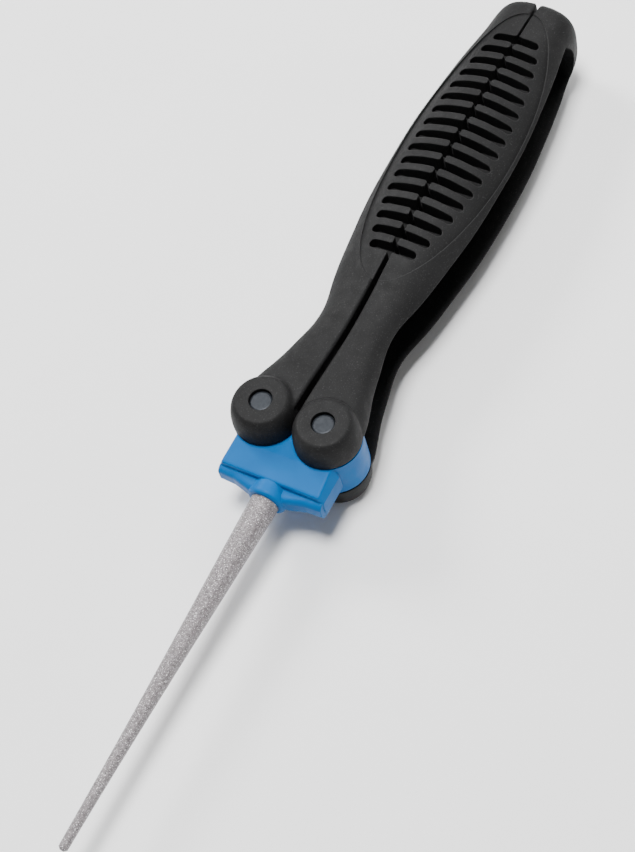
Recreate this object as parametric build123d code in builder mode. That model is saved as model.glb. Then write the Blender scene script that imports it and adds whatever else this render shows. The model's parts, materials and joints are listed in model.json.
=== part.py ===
from build123d import *
import os
from math import copysign, cos, pi, sin, sqrt

# Folding tapered sharpening rod, millimetres, shown deployed and lying flat.
# +X runs along the tool towards the butt of the handles, +Y to the left handle, +Z up.
# Origin: centre of the length and width, on the surface that the tool rests on.
# "Station" below is a distance along X from the line through the two pivots.

os.makedirs("parts", exist_ok=True)

# ---- driving dimensions ----
PIVOT_SPACING = 16.4
TIP_STATION = -108.2            # end of the rod
BUTT_STATION = 132.8            # end of the handles
LOBE_HALF = 13.0                # half thickness over the pivot bosses
PIVOT_X = -(TIP_STATION + BUTT_STATION) / 2
MID_Z = LOBE_HALF
PIVOT_Y = PIVOT_SPACING / 2
THICKNESS = 2 * LOBE_HALF

# handle
# cross sections of the grip: station, half width of the pair, half thickness, roundness
# (2 is an ellipse, higher is squarer)
GRIP_SECTIONS = [
    (0, 16.0, 11.3, 5.0), (4, 15.7, 11.35, 5.0), (9, 14.45, 11.0, 5.0), (14, 12.95, 10.45, 4.5),
    (20, 11.85, 9.85, 3.8), (26, 10.85, 9.5, 3.2), (32, 10.95, 9.65, 2.8), (38, 12.75, 10.15, 2.4),
    (50, 15.0, 11.5, 2.1), (62, 16.95, 12.15, 1.9), (76, 17.8, 12.55, 1.8), (90, 17.7, 12.45, 1.8),
    (104, 16.1, 11.95, 1.9), (116, 13.8, 11.25, 2.2), (124, 11.9, 10.75, 2.6), (129, 10.9, 10.2, 3.0),
    (131.2, 10.0, 9.6, 3.0), (132.3, 8.9, 8.7, 2.8), (BUTT_STATION, 7.2, 7.4, 2.6),
]
SECTION_POINTS = 28
GAP_LOBE = 0.8                  # half gap between the handles at the pivots
GAP_BUTT = 0.3                  # and near the butt
NOTCH_LENGTH = 1.8              # the gap opens out over this length at the butt
NOTCH_HALF = 1.7
INNER_EDGE = 0.7                # rounding of the edges that face the other handle
LOBE_RADIUS = 8.05
BOSS_FLAT_RADIUS = 5.75         # flat top of the boss
BOSS_RIM = 6.5                  # height over which its rim rounds off
BOSS_ROOT = 1.5                 # blend from the boss to the grip
CHANNEL_HALF = 5.95             # half width of the channel between the walls
CHANNEL_END = 123.4             # station where the channel meets the end cap
CHANNEL_BOW = 2.7               # hollow of the channel's end
MOUTH_EDGE = 0.6                # rounding of the walls' outer edges
WEB_START = 21.5                # station where the spine between the walls starts
WEB_FACE = 3.3                  # spine's face in the channel, from the centre line

# sunk oval panel and its slots
OVAL_STATION = 84.0
OVAL_LENGTH_RADIUS = 43.4
OVAL_WIDTH_RADIUS = 14.3
PANEL_DEPTH = 0.4
SLOT_COUNT = 17
SLOT_FIRST = 49.85              # station of the first slot
SLOT_PITCH = 4.27
SLOT_WIDTH = 2.35
SLOT_FIELD_LENGTH_RADIUS = 41.0
SLOT_FIELD_WIDTH_RADIUS = 11.2
SLOT_FLOOR = 7.2                # height of the slots' floors over the middle plane
RIB_CORNER = 0.5                # the ribs' ends narrow by this at the gap

# rivets, each in two halves
HEAD_HOLE = 5.7
HEAD_DIAMETER = 5.6
HEAD_SEAT = 10.0                # height of the head's seat over the middle plane
HEAD_RIM = 1.7
HEAD_CROWN = 0.7
BARREL_DIAMETER = 4.0
PIN_DIAMETER = 2.5
PIN_REACH = 1.0                 # the pin ends this far short of the other head
BARREL_SHORT = 0.6              # and the barrel this far short of the stud's head

# rod holder
EAR_HALF = 5.4
EAR_RADIUS = 8.0
EAR_BORE = 4.1
COLLAR_WIDTH = 13.8             # half width at the middle plane
PAD_WIDTH = 12.5                # half width of the flat pad
COLLAR_SIDE = 2.4               # half height of the collar's side faces
PAD_START = -7.9                # the pad slopes down from here
PAD_END = -14.3
PAD_DROP = 0.9
PAD_EDGE = 0.7
NECK = [(0, 6.0), (-5.2, 11.0), (-7.2, 16.0), (1.0, 16.0), (1.0, 6.0)]
FLANGE_HALF = 2.7
FLANGE_EDGE = 1.6               # rounding of the flange's rim
# half outline of the flange: station, half width
FLANGE_OUTLINE = [(-8.0, 13.6), (-15.7, 13.6), (-15.9, 9.5), (-17.2, 4.6)]
HUB_START = -11.0
HUB_END = -18.0
HUB_RADIUS = 4.9                # at the rod's end of the hub
HUB_TAPER = 7.5                 # degrees
HUB_EDGE = 1.0

# rod
# half profile of the abrasive length: station, radius
ROD_PROFILE = [(-15.9, 3.5), (-40.0, 2.78), (-63.0, 2.04), (-86.0, 1.46), (-107.5, 1.13)]
ROD_NOSE = 0.6                  # rounding at the tip
SHANK_DIAMETER = 5.6
SHANK_END = -1.5
GROOVE_STATIONS = [-5.0, -8.5, -12.0]
GROOVE_WIDTH = 1.0
GROOVE_DEPTH = 0.4

# washers
WASHER_DIAMETER = 12.0
WASHER_BORE = 4.3
WASHER_THICKNESS = 0.45


def at(points, side=1):
    """Points given as station and distance from the centre line, in the tool's frame."""
    return [(PIVOT_X + x, side * y) for x, y in points]


def grip(inset):
    """The left grip, solid, with its skin taken in by an inset."""
    turn = [2 * pi * i / SECTION_POINTS for i in range(SECTION_POINTS)]
    end_x = PIVOT_X + BUTT_STATION
    with BuildPart() as body:
        for station, width, height, power in GRIP_SECTIONS:
            rim = [
                (
                    copysign((width - inset) * abs(cos(a)) ** (2 / power), cos(a)),
                    copysign((height - inset) * abs(sin(a)) ** (2 / power), sin(a)) + MID_Z,
                )
                for a in turn
            ]
            with BuildSketch(Plane.YZ.offset(PIVOT_X + station)):
                with BuildLine():
                    Spline(*rim, periodic=True)
                make_face()
        loft()
        with BuildSketch():
            Polygon(
                (PIVOT_X, -2 * PIVOT_SPACING), (end_x, -2 * PIVOT_SPACING), (end_x, NOTCH_HALF),
                (end_x - NOTCH_LENGTH, GAP_BUTT), (PIVOT_X, GAP_LOBE), align=None,
            )
        extrude(amount=THICKNESS, mode=Mode.SUBTRACT)
    return body.part


# ---- left handle: grip, boss, channel, panel, slots and rivet seats ----
left_pivot = (PIVOT_X, PIVOT_Y)
channel_x = PIVOT_X + CHANNEL_END
lobe_x = PIVOT_X - 2 * LOBE_RADIUS

with BuildPart() as boss:
    with BuildSketch(Plane.XZ.offset(-PIVOT_Y)):
        with BuildLine():
            rim_x = PIVOT_X + BOSS_FLAT_RADIUS
            rim_width = LOBE_RADIUS - BOSS_FLAT_RADIUS
            Polyline((rim_x, 0), (PIVOT_X, 0), (PIVOT_X, THICKNESS), (rim_x, THICKNESS))
            EllipticalCenterArc((rim_x, THICKNESS - BOSS_RIM), rim_width, BOSS_RIM, 0, arc_size=90)
            Line((rim_x + rim_width, THICKNESS - BOSS_RIM), (rim_x + rim_width, BOSS_RIM))
            EllipticalCenterArc((rim_x, BOSS_RIM), rim_width, BOSS_RIM, -90, arc_size=90)
        make_face()
    revolve(axis=Axis((*left_pivot, 0), (0, 0, 1)))

with BuildPart() as panel_skin:
    with BuildSketch():
        with Locations((PIVOT_X + OVAL_STATION, 0)):
            Ellipse(OVAL_LENGTH_RADIUS, OVAL_WIDTH_RADIUS)
    extrude(amount=THICKNESS)
    add(grip(PANEL_DEPTH), mode=Mode.SUBTRACT)

with BuildPart() as channel:
    with BuildSketch(Plane.XZ):
        with BuildLine():
            top = (channel_x, MID_Z + CHANNEL_HALF)
            low = (channel_x, MID_Z - CHANNEL_HALF)
            Polyline(low, (lobe_x, low[1]), (lobe_x, top[1]), top)
            ThreePointArc(top, (channel_x + CHANNEL_BOW, MID_Z), low)
        make_face()
    extrude(amount=-2 * PIVOT_SPACING)
    with BuildSketch():
        with Locations((PIVOT_X + WEB_START, 0)):
            Rectangle(BUTT_STATION, 2 * WEB_FACE, align=(Align.MIN, Align.CENTER))
    extrude(amount=THICKNESS, mode=Mode.SUBTRACT)

with BuildPart() as slots:
    for level in (0, MID_Z + SLOT_FLOOR):
        with BuildSketch(Plane.XY.offset(level)):
            for i in range(SLOT_COUNT):
                station = SLOT_FIRST + i * SLOT_PITCH
                along = (station - OVAL_STATION) / SLOT_FIELD_LENGTH_RADIUS
                reach = SLOT_FIELD_WIDTH_RADIUS * sqrt(1 - along**2)
                with Locations((PIVOT_X + station, 0)):
                    SlotOverall(2 * reach, SLOT_WIDTH, rotation=90)
                    with Locations((0, GAP_LOBE / 2)):
                        Trapezoid(SLOT_WIDTH + 3 * RIB_CORNER, GAP_LOBE + RIB_CORNER, 60)
        extrude(amount=MID_Z - SLOT_FLOOR)

with BuildPart() as left_handle:
    add(grip(0))
    fillet(left_handle.edges().filter_by(lambda e: e.center().Y < 1 and e.length > 100), INNER_EDGE)
    add(boss.part)
    root = left_handle.edges().filter_by(lambda e: abs(e.center().Z - MID_Z) > 9 and e.length > 2)
    fillet(root.filter_by(lambda e: PIVOT_X + 3 < e.center().X < PIVOT_X + 9), BOSS_ROOT)
    add(panel_skin.part, mode=Mode.SUBTRACT)
    add(channel.part, mode=Mode.SUBTRACT)
    add(slots.part, mode=Mode.SUBTRACT)
    for face in (Plane.XY, Plane.XY.offset(MID_Z + HEAD_SEAT)):
        with BuildSketch(face):
            with Locations(left_pivot):
                Circle(HEAD_HOLE / 2)
        extrude(amount=LOBE_HALF - HEAD_SEAT, mode=Mode.SUBTRACT)
    with BuildSketch():
        with Locations(left_pivot):
            Circle(BARREL_DIAMETER / 2)
    extrude(amount=THICKNESS, mode=Mode.SUBTRACT)
left_handle.part.label = "left_handle"
export_step(left_handle.part, "parts/left_handle.step")

with BuildPart() as right_handle:
    add(mirror(left_handle.part, about=Plane.XZ))
right_handle.part.label = "right_handle"
export_step(right_handle.part, "parts/right_handle.step")

# ---- tapered rod with a plain grooved shank in the holder ----
with BuildPart() as tapered_rod:
    with BuildSketch(Plane.XY.offset(MID_Z)):
        with BuildLine():
            profile = at(ROD_PROFILE)
            shank = SHANK_DIAMETER / 2
            nose_x = profile[-1][0] - ROD_NOSE
            nose = (nose_x, profile[-1][1] - ROD_NOSE)
            shank_x = PIVOT_X + SHANK_END
            Polyline(nose, (nose_x, 0), (shank_x, 0), (shank_x, shank), (profile[0][0], shank), profile[0])
            Spline(*profile)
            Line(profile[-1], nose)
        make_face()
        with Locations(*[(PIVOT_X + x, shank) for x in GROOVE_STATIONS]):
            Rectangle(GROOVE_WIDTH, 2 * GROOVE_DEPTH, mode=Mode.SUBTRACT)
    revolve(axis=Axis((0, 0, MID_Z), (1, 0, 0)))
tapered_rod.part.label = "tapered_rod"
export_step(tapered_rod.part, "parts/tapered_rod.step")

# ---- rod holder: two ears for the pivots, a sloping pad, a flange and a hub round the rod ----
PIVOTS = [(PIVOT_X, PIVOT_Y), (PIVOT_X, -PIVOT_Y)]

with BuildPart() as flange:
    with BuildSketch(Plane.XY.offset(MID_Z - FLANGE_HALF)):
        Polygon(*at(FLANGE_OUTLINE), *at(FLANGE_OUTLINE[::-1], side=-1), align=None)
    extrude(amount=2 * FLANGE_HALF)
    rims = flange.edges().filter_by(lambda e: abs(e.center().Z - MID_Z) > FLANGE_HALF - 0.01)
    fillet(rims.filter_by(lambda e: e.center().X < PIVOT_X - 14.5), FLANGE_EDGE)

with BuildPart() as hub:
    with BuildSketch(Plane.YZ.offset(PIVOT_X + HUB_END)):
        with Locations((0, MID_Z)):
            Circle(HUB_RADIUS)
    extrude(amount=HUB_START - HUB_END, taper=HUB_TAPER)
    fillet(hub.edges().sort_by(Axis.X)[0], HUB_EDGE)

with BuildPart() as rod_holder:
    with BuildSketch(Plane.XZ):
        pad_side = [(0, EAR_HALF), (PAD_START, EAR_HALF), (PAD_END, EAR_HALF - PAD_DROP)]
        upper = [(PIVOT_X + x, MID_Z + z) for x, z in pad_side]
        lower = [(PIVOT_X + x, MID_Z - z) for x, z in pad_side[::-1]]
        Polygon(*upper, *lower, align=None)
    extrude(amount=PIVOT_SPACING, both=True)
    with BuildSketch(Plane.YZ.offset(PIVOT_X)):
        side = [(PAD_WIDTH, EAR_HALF), (COLLAR_WIDTH, COLLAR_SIDE)]
        side += [(y, -z) for y, z in side[::-1]]
        Polygon(*[(y, MID_Z + z) for y, z in side], *[(-y, MID_Z - z) for y, z in side], align=None)
    extrude(amount=2 * PIVOT_SPACING, both=True, mode=Mode.INTERSECT)
    with BuildSketch():
        Polygon(*at(NECK), align=None)
        Polygon(*at(NECK, side=-1), align=None)
    extrude(amount=THICKNESS, mode=Mode.SUBTRACT)
    pad_edges = rod_holder.edges().filter_by(lambda e: abs(e.center().Z - MID_Z) > 2)
    fillet(pad_edges.filter_by(lambda e: e.center().X < PIVOT_X - 6), PAD_EDGE)
    add(flange.part)
    add(hub.part)
    with BuildSketch(Plane.XY.offset(MID_Z - EAR_HALF)):
        with Locations(*PIVOTS):
            Circle(EAR_RADIUS)
    extrude(amount=2 * EAR_HALF)
    with BuildSketch():
        with Locations(*PIVOTS):
            Circle(EAR_BORE / 2)
    extrude(amount=THICKNESS, mode=Mode.SUBTRACT)
    add(tapered_rod.part, mode=Mode.SUBTRACT)
rod_holder.part.label = "rod_holder"
export_step(rod_holder.part, "parts/rod_holder.step")

# ---- rivets: a barrel with its head in front, a stud with its head at the back ----
for name, pivot in zip(("left", "right"), PIVOTS):
    with BuildPart() as barrel:
        with BuildSketch(Plane.XY.offset(MID_Z - HEAD_SEAT + BARREL_SHORT)):
            with Locations(pivot):
                Circle(BARREL_DIAMETER / 2)
        extrude(amount=2 * HEAD_SEAT - BARREL_SHORT)
        with BuildSketch(Plane.XY.offset(MID_Z + HEAD_SEAT)):
            with Locations(pivot):
                Circle(HEAD_DIAMETER / 2)
        extrude(amount=HEAD_RIM + HEAD_CROWN)
        with BuildSketch(Plane.XY.offset(MID_Z - HEAD_SEAT)):
            with Locations(pivot):
                Circle(PIN_DIAMETER / 2)
        extrude(amount=2 * HEAD_SEAT - PIN_REACH, mode=Mode.SUBTRACT)
        fillet(barrel.edges().group_by(Axis.Z)[-1], HEAD_CROWN)
    barrel.part.label = f"{name}_rivet_barrel"
    export_step(barrel.part, f"parts/{name}_rivet_barrel.step")

    with BuildPart() as stud:
        with BuildSketch(Plane.XY.offset(MID_Z - HEAD_SEAT)):
            with Locations(pivot):
                Circle(PIN_DIAMETER / 2)
        extrude(amount=2 * HEAD_SEAT - PIN_REACH)
        with BuildSketch(Plane.XY.offset(MID_Z - HEAD_SEAT - HEAD_RIM - HEAD_CROWN)):
            with Locations(pivot):
                Circle(HEAD_DIAMETER / 2)
        extrude(amount=HEAD_RIM + HEAD_CROWN)
        fillet(stud.edges().group_by(Axis.Z)[0], HEAD_CROWN)
    stud.part.label = f"{name}_rivet_stud"
    export_step(stud.part, f"parts/{name}_rivet_stud.step")

    for place, level in (("front", MID_Z + EAR_HALF), ("back", MID_Z - EAR_HALF - WASHER_THICKNESS)):
        with BuildPart() as washer:
            with BuildSketch(Plane.XY.offset(level)):
                with Locations(pivot):
                    Circle(WASHER_DIAMETER / 2)
                    Circle(WASHER_BORE / 2, mode=Mode.SUBTRACT)
            extrude(amount=WASHER_THICKNESS)
        washer.part.label = f"{name}_{place}_washer"
        export_step(washer.part, f"parts/{name}_{place}_washer.step")
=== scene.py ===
import json
from math import radians

import bpy
from mathutils import Euler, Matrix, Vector

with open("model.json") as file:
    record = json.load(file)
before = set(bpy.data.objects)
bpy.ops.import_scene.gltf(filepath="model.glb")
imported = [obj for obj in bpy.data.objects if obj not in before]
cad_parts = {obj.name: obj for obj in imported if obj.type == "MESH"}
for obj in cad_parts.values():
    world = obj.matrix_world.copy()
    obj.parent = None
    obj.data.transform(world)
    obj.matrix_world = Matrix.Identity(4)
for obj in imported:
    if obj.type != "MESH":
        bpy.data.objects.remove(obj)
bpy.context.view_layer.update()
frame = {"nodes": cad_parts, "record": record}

nodes = frame["nodes"]

# ---- camera: looks down on the tool as it lies on its back, rod towards the viewer ----
CAMERA_PLACE = (-0.1814, -0.1749, 0.3981)       # metres
CAMERA_TURN = (30.99, 10.34, -61.72)            # degrees
CAMERA_LENS = 83.0                              # millimetres
CAMERA_SENSOR = 36                              # millimetres

camera = bpy.data.objects.new("camera", bpy.data.cameras.new("camera"))
bpy.context.scene.collection.objects.link(camera)
camera.location = CAMERA_PLACE
camera.rotation_euler = Euler([radians(angle) for angle in CAMERA_TURN])
camera.data.lens = CAMERA_LENS
camera.data.sensor_width = CAMERA_SENSOR
camera.data.sensor_fit = "AUTO"
camera.data.clip_start = 0.01
bpy.context.scene.camera = camera


# ---- materials ----
EDGE_RADIUS = 0.0004            # metres, how far the shading rounds a moulded edge
EDGE_HIGHLIGHT_AND_WEAR_REACH = 0.0003             # metres, how far the paler edges reach: a painted highlight along the edges, with some wear


class Shader:
    """A node tree with one Principled shader, and short calls to add to it."""

    def __init__(self, name):
        self.material = bpy.data.materials.new(name)
        self.material.use_nodes = True
        self.tree = self.material.node_tree
        self.tree.nodes.clear()
        self.output = self.add("ShaderNodeOutputMaterial")
        self.surface = self.add("ShaderNodeBsdfPrincipled")
        self.link(self.surface.outputs["BSDF"], self.output.inputs["Surface"])
        self.place = self.add("ShaderNodeTexCoord").outputs["Object"]

    def add(self, kind, **settings):
        node = self.tree.nodes.new(kind)
        for key, value in settings.items():
            setattr(node, key, value)
        return node

    def link(self, source, target):
        self.tree.links.new(source, target)

    def set(self, **values):
        for key, value in values.items():
            self.surface.inputs[key.replace("_", " ")].default_value = value

    def noise(self, scale, detail=4, roughness=0.5):
        node = self.add("ShaderNodeTexNoise")
        node.inputs["Scale"].default_value = scale
        node.inputs["Detail"].default_value = detail
        node.inputs["Roughness"].default_value = roughness
        self.link(self.place, node.inputs["Vector"])
        return node.outputs["Fac"]

    def grains(self, scale):
        node = self.add("ShaderNodeTexVoronoi", feature="F1")
        node.inputs["Scale"].default_value = scale
        self.link(self.place, node.inputs["Vector"])
        return node.outputs["Distance"]

    def ramp(self, value, *stops):
        node = self.add("ShaderNodeValToRGB")
        elements = node.color_ramp.elements
        for place, colour in stops[2:]:
            elements.new(place)
        for element, (place, colour) in zip(elements, sorted(stops)):
            element.position = place
            element.color = (*colour, 1)
        self.link(value, node.inputs["Fac"])
        return node.outputs["Color"]

    def level(self, value, low, high, out_low, out_high):
        node = self.add("ShaderNodeMapRange")
        limits = {"From Min": low, "From Max": high, "To Min": out_low, "To Max": out_high}
        for key, number in limits.items():
            node.inputs[key].default_value = number
        self.link(value, node.inputs["Value"])
        return node.outputs["Result"]

    def mix(self, factor, a, b):
        node = self.add("ShaderNodeMix", data_type="RGBA", blend_type="MIX")
        for source, key in ((factor, "Factor"), (a, "A"), (b, "B")):
            sockets = [s for s in node.inputs if s.name == key and s.enabled]
            if isinstance(source, tuple):
                sockets[0].default_value = (*source, 1)
            else:
                self.link(source, sockets[0])
        return [s for s in node.outputs if s.enabled][0]

    def rounded(self, radius):
        """A normal that turns over sharp edges as if they had this radius."""
        node = self.add("ShaderNodeBevel", samples=6)
        node.inputs["Radius"].default_value = radius
        return node.outputs["Normal"]

    def bump(self, height, strength, distance, under=None):
        node = self.add("ShaderNodeBump")
        node.inputs["Strength"].default_value = strength
        node.inputs["Distance"].default_value = distance
        self.link(height, node.inputs["Height"])
        if under is not None:
            self.link(under, node.inputs["Normal"])
        return node.outputs["Normal"]

    def edges(self, radius):
        """Rises from 0 to 1 towards sharp edges, over about this radius."""
        dot = self.add("ShaderNodeVectorMath", operation="DOT_PRODUCT")
        self.link(self.rounded(radius), dot.inputs[0])
        self.link(self.add("ShaderNodeNewGeometry").outputs["Normal"], dot.inputs[1])
        return self.level(dot.outputs["Value"], 0.995, 0.86, 0, 1)


def handle_plastic():
    m = Shader("handle_plastic")
    m.set(Metallic=0.0, IOR=1.45, Specular_IOR_Level=0.18)
    tone = m.ramp(m.noise(90, 5),
                  (0.3, (0.0072, 0.0072, 0.0074)), (0.7, (0.0105, 0.0105, 0.0108)))
    speck = m.level(m.noise(3200, 2), 0.60, 0.74, 0, 0.5)
    tone = m.mix(speck, tone, (0.05, 0.05, 0.051))
    # convex and concave edges are mixed paler: a painted highlight along the edges, with some
    # wear
    edge_highlight_and_wear = m.mix(m.edges(EDGE_HIGHLIGHT_AND_WEAR_REACH), tone, (0.026, 0.026, 0.0265))
    m.link(edge_highlight_and_wear, m.surface.inputs["Base Color"])
    m.link(m.level(m.noise(400, 4), 0.3, 0.7, 0.56, 0.7), m.surface.inputs["Roughness"])
    fine = m.bump(m.noise(2400, 3), 0.75, 0.00006, m.rounded(EDGE_RADIUS))
    m.link(m.bump(m.noise(600, 3), 0.3, 0.0001, fine), m.surface.inputs["Normal"])
    return m.material


def holder_plastic():
    m = Shader("holder_plastic")
    m.set(Metallic=0.0, IOR=1.48, Specular_IOR_Level=0.1)
    tone = m.ramp(m.noise(120, 4),
                  (0.3, (0.0, 0.094, 0.30)), (0.7, (0.0, 0.108, 0.335)))
    # convex and concave edges are mixed to a paler blue: a painted highlight along the edges,
    # with some wear
    edge_highlight_and_wear = m.mix(m.edges(EDGE_HIGHLIGHT_AND_WEAR_REACH), tone, (0.002, 0.135, 0.38))
    m.link(edge_highlight_and_wear, m.surface.inputs["Base Color"])
    m.link(m.level(m.noise(300, 4), 0.3, 0.7, 0.36, 0.48), m.surface.inputs["Roughness"])
    grain = m.bump(m.noise(700, 4), 0.3, 0.00008, m.rounded(EDGE_RADIUS))
    m.link(grain, m.surface.inputs["Normal"])
    return m.material


def abrasive_steel():
    m = Shader("abrasive_steel")
    m.set(Metallic=0.2, IOR=1.6, Specular_IOR_Level=0.6)
    coat = m.ramp(m.noise(1500, 5, 0.7),
                  (0.38, (0.085, 0.073, 0.077)), (0.62, (0.24, 0.216, 0.223)))
    # near-white specks in the base colour: painted glints of the abrasive grit
    painted_glint = m.level(m.noise(3600, 2), 0.60, 0.68, 0, 1)
    tone = m.mix(painted_glint, coat, (0.85, 0.83, 0.84))
    m.link(tone, m.surface.inputs["Base Color"])
    m.link(m.level(m.noise(2500, 2), 0.3, 0.7, 0.25, 0.5), m.surface.inputs["Roughness"])
    m.link(m.bump(m.grains(5200), 0.8, 0.00012), m.surface.inputs["Normal"])
    return m.material


def rivet_steel():
    m = Shader("rivet_steel")
    m.set(Metallic=0.4, IOR=1.5, Specular_IOR_Level=0.3)
    tone = m.ramp(m.noise(900, 4),
                  (0.3, (0.016, 0.019, 0.024)), (0.7, (0.026, 0.030, 0.036)))
    m.link(tone, m.surface.inputs["Base Color"])
    m.link(m.level(m.noise(1800, 3), 0.3, 0.7, 0.40, 0.52), m.surface.inputs["Roughness"])
    m.link(m.bump(m.noise(1600, 3), 0.25, 0.00006), m.surface.inputs["Normal"])
    return m.material


def washer_plastic():
    m = Shader("washer_plastic")
    m.set(Metallic=0.0, IOR=1.45)
    tone = m.ramp(m.noise(300, 3),
                  (0.3, (0.010, 0.010, 0.010)), (0.7, (0.016, 0.016, 0.016)))
    m.link(tone, m.surface.inputs["Base Color"])
    m.link(m.level(m.noise(900, 3), 0.3, 0.7, 0.45, 0.6), m.surface.inputs["Roughness"])
    return m.material


FINISHES = {
    "handle_plastic": handle_plastic(),
    "holder_plastic": holder_plastic(),
    "abrasive_steel": abrasive_steel(),
    "rivet_steel": rivet_steel(),
    "washer_plastic": washer_plastic(),
}
for part in frame["record"]["subparts"]:
    mesh = nodes[part["node"]].data
    mesh.materials.clear()
    mesh.materials.append(FINISHES[part["material_slot"]])


# ---- floor and light ----
FLOOR_REACH = 3.0               # metres, from the middle to each side
WORLD_STRENGTH = 0.2
# name, place and target in metres, disk size in metres, power in watts
LIGHTS = [
    ("key", (0.0, 0.03, 1.15), (0.02, 0, 0), 0.4, 22),
    ("left", (0.35, 0.85, 0.7), (0.05, 0, 0), 0.4, 11),
    ("back", (0.95, 0.0, 0.7), (0.1, 0, 0), 0.6, 7),
    ("side", (0.4, -0.9, 0.3), (0.05, 0, 0), 0.25, 1.5),
]


def floor():
    mesh = bpy.data.meshes.new("floor")
    quarters = ((-1, -1), (1, -1), (1, 1), (-1, 1))
    corners = [(x * FLOOR_REACH, y * FLOOR_REACH, 0) for x, y in quarters]
    mesh.from_pydata(corners, [], [(0, 1, 2, 3)])
    piece = bpy.data.objects.new("floor", mesh)
    bpy.context.scene.collection.objects.link(piece)
    m = Shader("floor_paper")
    m.set(Roughness=0.9)
    tone = m.ramp(m.noise(30, 3), (0.3, (0.92, 0.92, 0.92)), (0.7, (0.94, 0.94, 0.94)))
    m.link(tone, m.surface.inputs["Base Color"])
    mesh.materials.append(m.material)


def area_light(name, place, target, size, power):
    data = bpy.data.lights.new(name, "AREA")
    data.shape = "DISK"
    data.size = size
    data.energy = power
    light = bpy.data.objects.new(name, data)
    light.location = place
    light.rotation_euler = (Vector(target) - Vector(place)).to_track_quat("-Z", "Y").to_euler()
    bpy.context.scene.collection.objects.link(light)


floor()
for light in LIGHTS:
    area_light(*light)
world = bpy.data.worlds.new("studio")
world.use_nodes = True
world.node_tree.nodes["Background"].inputs["Color"].default_value = (1, 1, 1, 1)
world.node_tree.nodes["Background"].inputs["Strength"].default_value = WORLD_STRENGTH
bpy.context.scene.world = world
